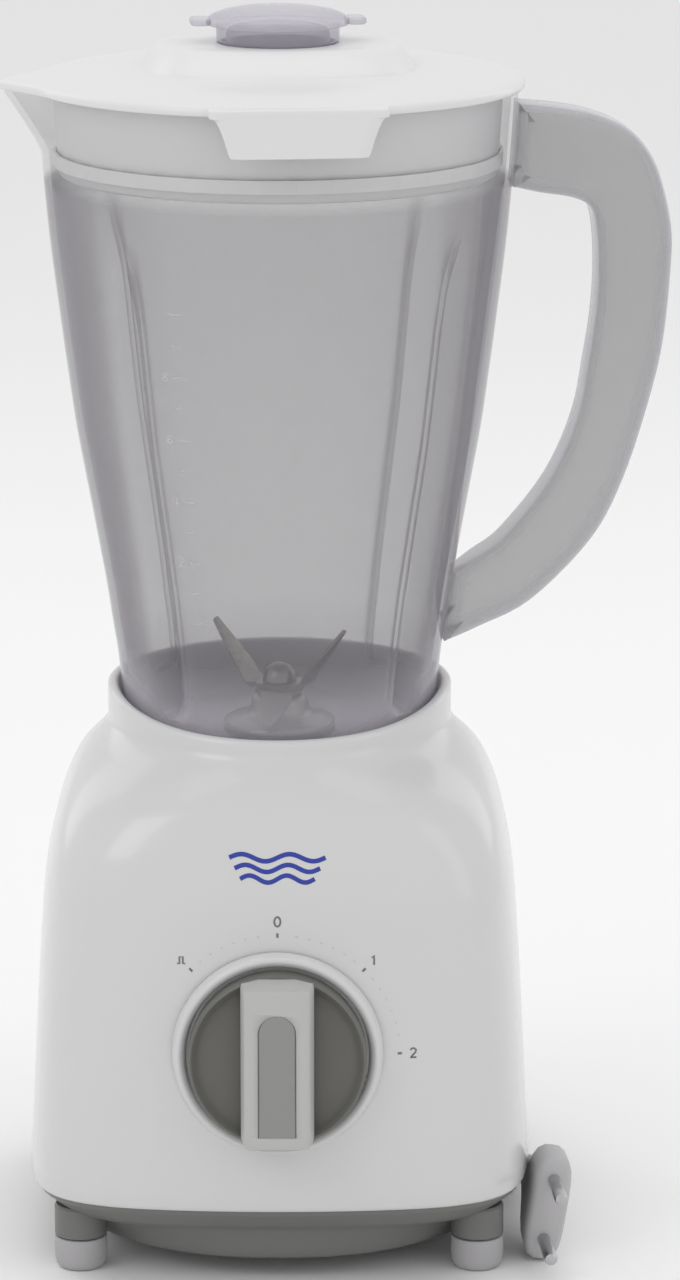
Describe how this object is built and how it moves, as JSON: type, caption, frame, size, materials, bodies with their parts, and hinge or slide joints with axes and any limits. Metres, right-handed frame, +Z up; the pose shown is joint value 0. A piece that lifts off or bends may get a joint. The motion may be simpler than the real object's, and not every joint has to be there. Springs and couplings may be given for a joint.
{
  "type": "countertop blender",
  "caption": "Countertop blender with a tapered motor base, a rotary speed knob, a clear handled jug with internal ribs, steel blades and a lid with a removable measuring cap",
  "frame": {"origin": "Centre of the bounding box in X and Y, without the loose cord and plug, and the counter that the feet stand on at z = 0.", "axes": "+Z is up along the drive axis, -Y is the front with the knob, +X is the side with the jug's handle, -X the side with the spout."},
  "size_m": [0.2016, 0.2933, 0.3757],
  "materials": {
    "white_plastic": "glossy moulded white ABS",
    "dark_grey_plastic": "satin dark grey moulding",
    "light_grey_plastic": "satin light grey moulding",
    "mid_grey_plastic": "satin mid grey moulding",
    "smoky_clear_plastic": "clear smoky styrene-acrylonitrile plastic",
    "grey_rubber": "soft grey rubber",
    "black_rubber": "black nitrile rubber",
    "stainless_steel": "ground stainless steel",
    "lamination_steel": "stacked and pressed electrical steel",
    "copper_winding": "enamelled copper wire",
    "brass": "plain brass",
    "carbon": "pressed carbon",
    "black_plastic": "black glass-filled nylon",
    "cord_grey": "light grey PVC"
  },
  "bodies": {
    "base": {"base_housing": "white_plastic", "bottom_cover": "dark_grey_plastic", "brush_holder_front": "brass", "brush_holder_rear": "brass", "carbon_brush_front": "carbon", "carbon_brush_rear": "carbon", "cord_coil": "cord_grey", "cord_gland": "cord_grey", "cord_lead": "cord_grey", "cord_tail": "cord_grey", "cover_screw_front_left": "stainless_steel", "cover_screw_front_right": "stainless_steel", "cover_screw_rear_left": "stainless_steel", "cover_screw_rear_right": "stainless_steel", "field_coil_front": "copper_winding", "field_coil_rear": "copper_winding", "foot_front_left": "grey_rubber", "foot_front_right": "grey_rubber", "foot_rear_left": "grey_rubber", "foot_rear_right": "grey_rubber", "lower_bracket": "lamination_steel", "lower_bushing": "brass", "motor_bolt_left": "stainless_steel", "motor_bolt_right": "stainless_steel", "motor_damper_left": "grey_rubber", "motor_damper_right": "grey_rubber", "motor_screw_left": "stainless_steel", "motor_screw_right": "stainless_steel", "plug_body": "cord_grey", "plug_pin_lower": "brass", "plug_pin_upper": "brass", "rotary_switch": "black_plastic", "splash_seal": "black_rubber", "stator_core": "lamination_steel", "upper_bracket": "lamination_steel", "upper_bushing": "brass"},
    "knob": {"knob_body": "dark_grey_plastic", "knob_grip": "light_grey_plastic", "knob_inlay": "mid_grey_plastic", "knob_spindle": "stainless_steel"},
    "rotor": {"motor_shaft": "stainless_steel", "armature_core": "lamination_steel", "lower_winding": "copper_winding", "upper_winding": "copper_winding", "commutator": "brass", "cooling_fan": "black_plastic", "drive_coupler": "black_plastic"},
    "jug": {"jug": "smoky_clear_plastic", "blade_bearing_housing": "light_grey_plastic", "blade_gasket": "black_rubber", "retaining_nut": "light_grey_plastic"},
    "blades": {"blade_shaft": "stainless_steel", "lower_blade": "stainless_steel", "upper_blade": "stainless_steel", "blade_nut": "stainless_steel", "driven_coupler": "black_plastic"},
    "lid": {"lid": "white_plastic", "lid_seal": "grey_rubber"},
    "cap": {"measuring_cap": "smoky_clear_plastic"}
  },
  "joints": [
    {"name": "knob_turn", "type": "hinge", "parent": "base", "child": "knob", "pos_m": [-0.01753, -0.0731, 0.074], "axis": [0, 1, 0], "range_deg": [-45, 90]},
    {"name": "motor_spin", "type": "hinge", "parent": "base", "child": "rotor", "pos_m": [-0.01753, 0.0069, 0.08], "axis": [0, 0, 1], "continuous": true},
    {"name": "jug_lift", "type": "slide", "parent": "base", "child": "jug", "axis": [0, 0, 1], "range_m": [0, 0.06]},
    {"name": "blade_spin", "type": "hinge", "parent": "jug", "child": "blades", "pos_m": [-0.01753, 0.0069, 0.16], "axis": [0, 0, 1], "continuous": true},
    {"name": "lid_lift", "type": "slide", "parent": "jug", "child": "lid", "axis": [0, 0, 1], "range_m": [0, 0.06]},
    {"name": "cap_lift", "type": "slide", "parent": "lid", "child": "cap", "axis": [0, 0, 1], "range_m": [0, 0.04]}
  ],
  "couplings": [
    {"joint": "blade_spin", "follows": "motor_spin", "ratio": 1}
  ]
}
